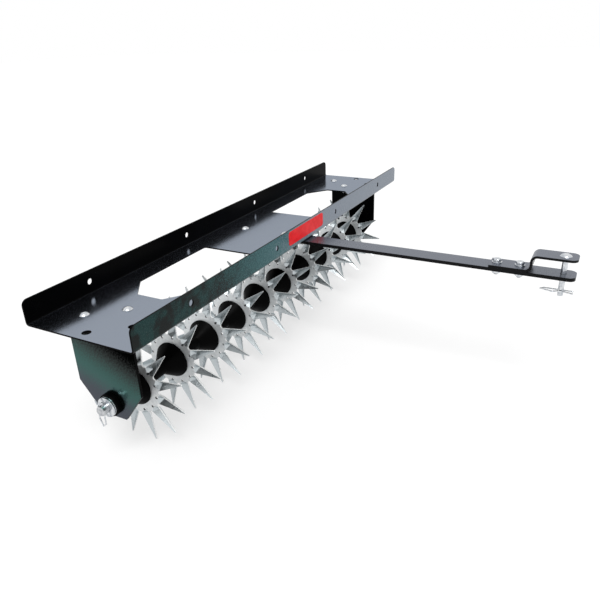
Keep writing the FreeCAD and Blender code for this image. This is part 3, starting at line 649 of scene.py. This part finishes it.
def make_hex(verts: Iterable[bmesh.types.BMVert], frame: Matrix, flats_mm: float) -> None:
    """Press six flats into a turned piece.

    Args:
        verts: The turned piece's vertices, in place.
        frame: The frame that the piece was turned in.
        flats_mm: Distance across the flats.
    """
    back = frame.inverted()
    for vert in verts:
        spot = back @ vert.co
        reach = math.hypot(spot.x, spot.y)
        if reach < flats_mm * MM * HEX_CORE_SHARE:
            continue
        turn = math.atan2(spot.y, spot.x)
        off = (turn + math.pi / 6) % (math.pi / 3) - math.pi / 6
        limit = flats_mm * MM / 2 / math.cos(off)
        if reach > limit:
            spot.x *= limit / reach
            spot.y *= limit / reach
            vert.co = frame @ spot


def bent_path(corners: Sequence[Vector], radii: Sequence[float], steps: int = 10) -> list[Vector]:
    """Round the corners of a path with tangent arcs.

    Args:
        corners: The path's ends and corners in millimetres.
        radii: Radius of the bend at each corner between the ends.
        steps: Points along each bend.

    Returns:
        Points of the whole path.
    """
    path = [corners[0]]
    for before, corner, after, radius in zip(corners, corners[1:], corners[2:], radii):
        back, ahead = (before - corner).normalized(), (after - corner).normalized()
        half = back.angle(ahead) / 2
        centre = corner + (back + ahead).normalized() * radius / math.sin(half)
        start = corner + back * radius / math.tan(half) - centre
        axis = start.cross(ahead).normalized()
        sweep = math.pi - 2 * half
        path += [centre + Matrix.Rotation(sweep * step / steps, 3, axis) @ start for step in range(steps + 1)]
    return path + [corners[-1]]


def sweep_wire(points: Sequence[Vector], radius_mm: float) -> bmesh.types.BMesh:
    """Lay a round wire with flat ends along a path.

    Args:
        points: The path in metres.
        radius_mm: Radius of the wire.

    Returns:
        The wire's mesh.
    """
    curve = bpy.data.curves.new("wire_path", "CURVE")
    curve.dimensions = "3D"
    spline = curve.splines.new("POLY")
    spline.points.add(len(points) - 1)
    for spot, target in zip(spline.points, points):
        spot.co = (*target, 1.0)
    curve.bevel_depth = radius_mm * MM
    curve.bevel_resolution = 6
    curve.use_fill_caps = True
    carrier = bpy.data.objects.new("wire_path", curve)
    mesh = bpy.data.meshes.new_from_object(carrier)
    bm = bmesh.new()
    bm.from_mesh(mesh)
    bpy.data.objects.remove(carrier)
    bpy.data.curves.remove(curve)
    bpy.data.meshes.remove(mesh)
    bmesh.ops.remove_doubles(bm, verts=bm.verts, dist=BUILT_MERGE_MM * MM)
    bmesh.ops.recalc_face_normals(bm, faces=bm.faces)
    return bm


def solid_boxes(node: str) -> list[tuple[Vector, Vector]]:
    """Measure every separate solid of a node.

    Args:
        node: Name of the node.

    Returns:
        Lowest and highest corner of each solid in millimetres.
    """
    bm = copy_solid(node)
    left = set(bm.verts)
    boxes = []
    while left:
        queue = [left.pop()]
        spots = []
        while queue:
            vert = queue.pop()
            spots.append(vert.co / MM)
            linked = {edge.other_vert(vert) for edge in vert.link_edges} & left
            left -= linked
            queue.extend(linked)
        spans = list(zip(*spots))
        boxes.append((Vector([min(span) for span in spans]), Vector([max(span) for span in spans])))
    bm.free()
    return boxes


# The machine.


@dataclass
class WeightTray:
    """The folded tray: a floor with a painted sheen between black flanges in painted shade, the front one
    with painted reflections outside.
    """

    edge_mm: float = 0.6
    skin_mm: float = 1.0
    flat: float = 0.99
    level: float = 0.9

    def build(self) -> None:
        """Copy the tray, part its faces into painted sheen, shade and reflection, and soften its edges."""
        bm = copy_solid("weight_tray")
        low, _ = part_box("weight_tray")
        front = low[1] / MM
        floors = [face.calc_center_median().z / MM for face in bm.faces if face.normal.z > self.flat]
        floor_top = min(floors)
        # The floor takes the coat with a painted sheen, the front flange's outside the one with painted
        # reflections, the rest the coat in painted shade.
        for face in bm.faces:
            spot = face.calc_center_median() / MM
            if face.normal.z > self.level and spot.z < floor_top + self.skin_mm:
                face.material_index = 1
            if spot.y < front + self.skin_mm and face.normal.y < -FACING:
                face.material_index = 2
        coats = [SHEET_COAT, FLOOR_COAT, FLANGE_COAT]
        piece = place_piece(bm, "tray_sheet", "frame", coats, ["weight_tray"])
        soften(piece, self.edge_mm)


@dataclass
class EndPlate:
    """A bent end plate and its moulded bush."""

    side: str
    edge_mm: float = 0.5
    bush_edge_mm: float = 1.2

    def build(self) -> None:
        """Copy the plate and the bush, give the outer face painted reflections and shade and the rest painted
        shade, and soften their edges.
        """
        node = f"{self.side}_end_plate"
        bm = copy_solid(node)
        # The outer face takes the coat with painted reflections and shade, the rest the coat in painted
        # shade.
        for face in bm.faces:
            if face.normal.x * SIDES[self.side] > FACING:
                face.material_index = 1
        piece = place_piece(bm, f"{self.side}_plate", "frame", [SHEET_COAT, PLATE_COAT], [node])
        soften(piece, self.edge_mm)
        bush = f"{self.side}_axle_bush"
        ring = place_piece(copy_solid(bush), f"{self.side}_bush", "frame", [SPACER_PLASTIC], [bush])
        soften(ring, self.bush_edge_mm, 3)


@dataclass
class StarRow:
    """Ten spiked stars and the coned spacers between them."""

    count: int = 10
    fold_mm: float = 0.45
    fold_degrees: float = 12.0
    web_mm: float = 45.5
    wall_normal: float = 0.15
    rim_mm: float = 0.6
    rim_degrees: float = 25.0
    cone_crisp_degrees: float = 20.0

    def star(self, number: int) -> None:
        """Copy one star, paint a highlight on its cut edge and shade in its holes, and soften its folds."""
        node = f"tine_star_{number:02d}"
        bm = copy_solid(node)
        low, high = (Vector(corner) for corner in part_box(node))
        hub = (low + high) / 2
        for face in bm.faces:
            # Cut edges beyond the web take a painted highlight, hole walls within it painted shade.
            if abs(face.normal.x) < self.wall_normal:
                spot = face.calc_center_median() - hub
                face.material_index = 1 if math.hypot(spot.y, spot.z) > self.web_mm * MM else 2
        finishes = [STAR_ZINC, EDGE_HIGHLIGHT_ZINC, HOLE_SHADE_ZINC]
        piece = place_piece(bm, f"spiked_star_{number:02d}", f"star_{number:02d}", finishes, [node])
        soften(piece, self.fold_mm, 2, self.fold_degrees)

    def build(self) -> None:
        """Build every star and spacer."""
        for number in range(1, self.count + 1):
            self.star(number)
        for number in range(1, self.count + 2):
            node = f"spacer_{number:02d}"
            name, crisp = f"cone_{number:02d}", self.cone_crisp_degrees
            piece = place_piece(copy_solid(node), name, "axle_set", [SPACER_PLASTIC], [node], crisp)
            soften(piece, self.rim_mm, 3, self.rim_degrees)


@dataclass
class SpringClip:
    """A bent-wire clip: a leg through a cross hole, a loop, and a leg that grips the bar."""

    node: str
    body: str
    bar_mm: float
    frame: Matrix
    wire_mm: float = 1.25
    gap_mm: float = 0.35
    loop_mm: float = 5.6
    leg_mm: float = 19.5
    run_mm: float = 32.0
    flare_mm: float = 4.0
    edge_mm: float = 0.35
    loop_share: float = 0.99
    bend_wires: float = 3.0

    def build(self) -> None:
        """Sweep the wire along its bends."""
        grip = self.bar_mm + self.wire_mm + self.gap_mm
        waist = self.bar_mm + self.wire_mm
        width = max(2 * self.loop_mm, grip + self.wire_mm)
        corners = [
            Vector((0, self.leg_mm, 0)),
            Vector((0, -self.run_mm, 0)),
            Vector((width, -self.run_mm, 0)),
            Vector((width, -2 * waist, 0)),
            Vector((grip, -waist / 2, 0)),
            Vector((grip, waist / 2, 0)),
            Vector((grip + self.flare_mm, self.leg_mm, 0)),
        ]
        radii = [self.loop_mm * self.loop_share] * 2 + [self.bend_wires * self.wire_mm] * 3
        path = [self.frame @ (spot * MM) for spot in bent_path(corners, radii)]
        wire, name = sweep_wire(path, self.wire_mm), f"wire_{self.node}"
        piece = place_piece(wire, name, self.body, [BOLT_ZINC], [self.node])
        soften(piece, self.edge_mm, 3)


@dataclass
class Axle:
    """The axle bar, its loose washers and the wire clips at its ends."""

    washer_bore_mm: float = 8.0
    clip_leg_mm: float = 13.0
    edge_mm: float = 0.4
    bar_edge_mm: float = 0.3

    def washers(self, side: str) -> None:
        """Turn the loose washers of one end."""
        node = f"axle_washers_{side}"
        bm = bmesh.new()
        for low, high in solid_boxes(node):
            middle = (low + high) / 2
            radius, thick = (high.z - low.z) / 2, high.x - low.x
            frame = standing(low.x, middle.y, middle.z) @ Matrix.Rotation(math.radians(90), 4, "Y")
            profile = ring_profile(self.washer_bore_mm, radius, 0.0, thick, self.edge_mm)
            lathe(bm, profile, frame)
        place_piece(bm, f"loose_washers_{side}", "axle_set", [BOLT_ZINC], [node])

    def build(self) -> None:
        """Build the bar, the washers and both clips."""
        bar = place_piece(copy_solid("axle"), "axle_bar", "axle_set", [AXLE_STEEL], ["axle"])
        soften(bar, self.bar_edge_mm)
        low, high = (Vector(corner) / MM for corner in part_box("axle"))
        for side in SIDES:
            self.washers(side)
            node = f"axle_clip_{side}"
            near, far = (Vector(corner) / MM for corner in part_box(node))
            place = standing((near.x + far.x) / 2, (low.y + high.y) / 2, (low.z + high.z) / 2)
            turn = Matrix.Rotation(math.radians(90), 4, "Z") @ Matrix.Rotation(math.radians(90), 4, "X")
            radius, leg = (high.z - low.z) / 2, self.clip_leg_mm
            SpringClip(node, f"{node}_body", radius, place @ turn, leg_mm=leg).build()


@dataclass
class Drawbar:
    """The flat bar and the strap that makes the hitch's upper jaw."""

    edge_mm: float = 0.8

    def build(self) -> None:
        """Copy the bar and the strap, give their tops a painted sheen and their sides painted shade, and
        round their edges.
        """
        for node, name in (("drawbar", "flat_bar"), ("hitch_strap", "jaw_strap")):
            bm = copy_solid(node)
            for face in bm.faces:
                # Faces not facing up take the copy of the coat that paints shade.
                if face.normal.z < FACING:
                    face.material_index = 1
            piece = place_piece(bm, name, "frame", [BAR_COAT, BAR_SIDE_COAT], [node])
            soften(piece, self.edge_mm, 3)


def ring_profile(
    bore: float, radius: float, foot: float, top: float, edge: float
) -> list[tuple[float, float]]:
    """Cross-section of a flat ring in millimetres, rounded outside and bevelled inside."""
    inset = edge * 0.3
    return [
        (bore + edge, top),
        (radius - edge, top),
        (radius - inset, top - inset),
        (radius, top - edge),
        (radius, foot + edge),
        (radius - inset, foot + inset),
        (radius - edge, foot),
        (bore + edge, foot),
        (bore, foot + edge),
        (bore, top - edge),
    ]


@dataclass
class Fasteners:
    """Bolts, nuts and washers, built anew in the places of the solids."""

    shank_mm: float = 3.95
    bore_mm: float = 4.0
    flats_mm: float = 12.7
    dome_height_mm: float = 4.2
    hex_height_mm: float = 5.3
    thread_pitch_mm: float = 1.27
    thread_depth_mm: float = 0.55
    thread_turns: int = 12
    tip_mm: float = 1.1
    dome_steps: int = 12
    hex_steps: int = 96
    face_share: float = 0.95
    washer_play_mm: float = 0.3
    washer_edge_mm: float = 0.3
    split_degrees: float = 345.0
    split_steps: int = 69
    crisp_degrees: float = 25.0

    def tail(self, top: float, foot: float) -> list[tuple[float, float]]:
        """Profile of a threaded shank from under the head down to the tip."""
        threads = [(self.shank_mm, top)]
        level = foot + self.thread_turns * self.thread_pitch_mm
        while level > foot + self.thread_pitch_mm:
            threads.append((self.shank_mm, level))
            threads.append((self.shank_mm - self.thread_depth_mm, level - self.thread_pitch_mm / 2))
            level -= self.thread_pitch_mm
        return threads + [(self.shank_mm, level), (self.shank_mm - self.tip_mm, foot), (0.0, foot)]

    def carriage_bolt(self, bm: bmesh.types.BMesh, low: Vector, high: Vector) -> None:
        """Turn a bolt with a low domed head."""
        radius, height = (high.x - low.x) / 2, self.dome_height_mm
        ball = (radius**2 + height**2) / (2 * height)
        reach = math.asin(radius / ball)
        turns = [reach * step / self.dome_steps for step in range(self.dome_steps)]
        dome = [(ball * math.sin(turn), high.z - ball * (1 - math.cos(turn))) for turn in turns]
        seat = high.z - height
        rim = [(radius - 0.1, seat + 0.4), (radius, seat + 0.2), (radius - 0.25, seat)]
        middle = (low + high) / 2
        lathe(bm, dome + rim + self.tail(seat, low.z), standing(middle.x, middle.y, 0.0))

    def hex_radii(self) -> tuple[float, float]:
        """Radii of a hexagon's corners and of the round face inside its flats."""
        return self.flats_mm / 2 / math.cos(math.pi / 6), self.flats_mm / 2 * self.face_share

    def hex_bolt(self, bm: bmesh.types.BMesh, low: Vector, high: Vector) -> None:
        """Turn a bolt and press a hexagonal head."""
        seat = high.z - self.hex_height_mm
        corner, face = self.hex_radii()
        head = [(0.0, high.z), (face - 0.4, high.z), (face, high.z - 0.1), (corner, high.z - 0.9)]
        skirt = [(corner, seat + 0.5), (face, seat + 0.4), (face, seat)]
        middle = (low + high) / 2
        frame = standing(middle.x, middle.y, 0.0)
        verts = lathe(bm, head + skirt + self.tail(seat, low.z), frame, self.hex_steps)
        make_hex(verts, frame, self.flats_mm)

    def nut(self, bm: bmesh.types.BMesh, low: Vector, high: Vector) -> None:
        """Turn a ring and press six flats."""
        corner, face = self.hex_radii()
        half = [(self.bore_mm, 0.7), (self.bore_mm + 0.7, 0.0), (face, 0.0), (corner, 0.85)]
        under = [(radius, low.z + rise) for radius, rise in half]
        over = [(radius, high.z - rise) for radius, rise in reversed(half)]
        middle = (low + high) / 2
        frame = standing(middle.x, middle.y, 0.0)
        make_hex(lathe(bm, under + over, frame, self.hex_steps), frame, self.flats_mm)

    def washer_profile(self, low: Vector, high: Vector) -> list[tuple[float, float]]:
        """Cross-section of a washer in the place of a solid."""
        bore, radius = self.bore_mm + self.washer_play_mm, (high.x - low.x) / 2
        return ring_profile(bore, radius, low.z, high.z, self.washer_edge_mm)

    def flat_washer(self, bm: bmesh.types.BMesh, low: Vector, high: Vector) -> None:
        """Turn a flat washer."""
        middle = (low + high) / 2
        lathe(bm, self.washer_profile(low, high), standing(middle.x, middle.y, 0.0))

    def lock_washer(self, bm: bmesh.types.BMesh, low: Vector, high: Vector) -> None:
        """Turn a lock washer that is split at one place."""
        middle = (low + high) / 2
        frame = standing(middle.x, middle.y, 0.0)
        lathe(bm, self.washer_profile(low, high), frame, self.split_steps, self.split_degrees)

    def build(self) -> None:
        """Build every fastener in the place of its solid."""
        makers = {
            "end_plate_bolts_left": self.carriage_bolt,
            "end_plate_bolts_right": self.carriage_bolt,
            "drawbar_bolts": self.carriage_bolt,
            "end_plate_nuts_left": self.nut,
            "end_plate_nuts_right": self.nut,
            "drawbar_nuts": self.nut,
            "hitch_nuts": self.nut,
            "hitch_bolts": self.hex_bolt,
            "hitch_flat_washers": self.flat_washer,
            "hitch_lock_washers": self.lock_washer,
        }
        for node, make in makers.items():
            bm = bmesh.new()
            for low, high in solid_boxes(node):
                make(bm, low, high)
            place_piece(bm, f"fitted_{node}", "frame", [BOLT_ZINC], [node], self.crisp_degrees)


@dataclass
class HitchPin:
    """The pin through both jaws and the wire clip through its foot."""

    radius_mm: float = 4.76
    edge_mm: float = 0.5

    def build(self) -> None:
        """Copy the pin, soften it, and sweep its clip."""
        bm = copy_solid("hitch_pin")
        pin = place_piece(bm, "jaw_pin", "hitch_pin_body", [BOLT_ZINC], ["hitch_pin"])
        soften(pin, self.edge_mm, 3)
        low, high = (Vector(corner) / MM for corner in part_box("hitch_pin"))
        near, far = (Vector(corner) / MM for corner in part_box("hitch_pin_clip"))
        middle = (low + high) / 2
        place = standing(middle.x, middle.y, (near.z + far.z) / 2)
        turn = Matrix.Rotation(math.radians(180), 4, "Z")
        SpringClip("hitch_pin_clip", "hitch_clip_body", self.radius_mm, place @ turn).build()


def build_label(edge_mm: float = 0.2) -> None:
    """Copy the label plate and soften its rim."""
    node = "front_label_plate"
    label = place_piece(copy_solid(node), "label_plate", "frame", [LABEL_RED], [node])
    soften(label, edge_mm)


# The studio.


@dataclass(frozen=True)
class Studio:
    """Pale floor, soft even light and the camera."""

    spot_m: tuple[float, float, float] = (-0.99176, -0.36954, 0.60753)
    turn_degrees: tuple[float, float, float] = (65.215, 1.847, -62.388)
    lens_mm: float = 35.17
    sensor_mm: float = 36.0
    clip_m: tuple[float, float] = (0.01, 200.0)
    floor_m: float = 30.0
    floor_tone: float = 0.35
    floor_lift: float = 0.58
    sky_soft: float = 0.9
    sky_seen: float = 1.0
    lamp_towards: tuple[float, float, float] = (-0.5, -0.2, 1.0)
    lamp_strength: float = 1.9
    lamp_degrees: float = 30.0

    def camera(self) -> None:
        """Put the camera where the photograph was taken from."""
        eye = bpy.data.cameras.new("camera")
        eye.sensor_width = self.sensor_mm
        eye.lens = self.lens_mm
        eye.clip_start, eye.clip_end = self.clip_m
        holder = bpy.data.objects.new("camera", eye)
        holder.location = self.spot_m
        holder.rotation_euler = [math.radians(angle) for angle in self.turn_degrees]
        bpy.context.scene.collection.objects.link(holder)
        bpy.context.scene.camera = holder

    def floor(self) -> None:
        """Lay a pale floor that keeps the shadow and is white to the camera."""
        material = bpy.data.materials.new("pale_floor")
        material.use_nodes = True
        tree = material.node_tree
        tree.nodes.clear()
        tone = (self.floor_tone, self.floor_tone, self.floor_tone, 1.0)
        matt = add_node(tree, "ShaderNodeBsdfDiffuse", {"Color": tone}).outputs[0]
        lift = calculate(tree, "MULTIPLY", seen_directly(tree), self.floor_lift)
        glow = add_node(tree, "ShaderNodeEmission", {"Color": WHITE, "Strength": lift}).outputs[0]
        both = add_node(tree, "ShaderNodeAddShader", {0: matt, 1: glow}).outputs[0]
        add_node(tree, "ShaderNodeOutputMaterial", {"Surface": both})
        bm = bmesh.new()
        bmesh.ops.create_grid(bm, x_segments=1, y_segments=1, size=self.floor_m / 2)
        mesh = bpy.data.meshes.new("floor")
        bm.to_mesh(mesh)
        bm.free()
        mesh.materials.append(material)
        ground = bpy.data.objects.new("floor", mesh)
        bpy.context.scene.collection.objects.link(ground)

    def lights(self) -> None:
        """Light the machine from all round, with one broad soft lamp from above."""
        world = bpy.data.worlds.new("studio")
        bpy.context.scene.world = world
        world.use_nodes = True
        tree = world.node_tree
        tree.nodes.clear()
        numbers = {"Value": seen_directly(tree), "To Min": self.sky_soft, "To Max": self.sky_seen}
        strength = add_node(tree, "ShaderNodeMapRange", numbers).outputs["Result"]
        sky = add_node(tree, "ShaderNodeBackground", {"Color": WHITE, "Strength": strength}).outputs[0]
        add_node(tree, "ShaderNodeOutputWorld", {"Surface": sky})
        sun = bpy.data.lights.new("overhead", "SUN")
        sun.energy = self.lamp_strength
        sun.angle = math.radians(self.lamp_degrees)
        holder = bpy.data.objects.new("overhead", sun)
        holder.rotation_euler = Vector(self.lamp_towards).to_track_quat("Z", "Y").to_euler()
        bpy.context.scene.collection.objects.link(holder)

    def build(self) -> None:
        """Set up the whole studio."""
        self.camera()
        self.floor()
        self.lights()
        bpy.context.scene.view_settings.view_transform = "Standard"


def seen_directly(tree: bpy.types.NodeTree) -> bpy.types.NodeSocket:
    """One for rays from the camera or off metal and gloss, zero for soft light."""
    path = add_node(tree, "ShaderNodeLightPath")
    mirror = calculate(tree, "MAXIMUM", path.outputs["Is Camera Ray"], path.outputs["Is Glossy Ray"])
    return calculate(tree, "MAXIMUM", mirror, path.outputs["Is Transmission Ray"])


def main() -> None:
    """Build the machine and the studio in order; each piece logs its face count."""
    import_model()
    Studio().build()
    WeightTray().build()
    for side in SIDES:
        EndPlate(side).build()
    StarRow().build()
    Axle().build()
    Drawbar().build()
    Fasteners().build()
    HitchPin().build()
    build_label()


if __name__ == "__main__":
    logging.basicConfig(level=logging.INFO, format="%(name)s: %(message)s")
    main()
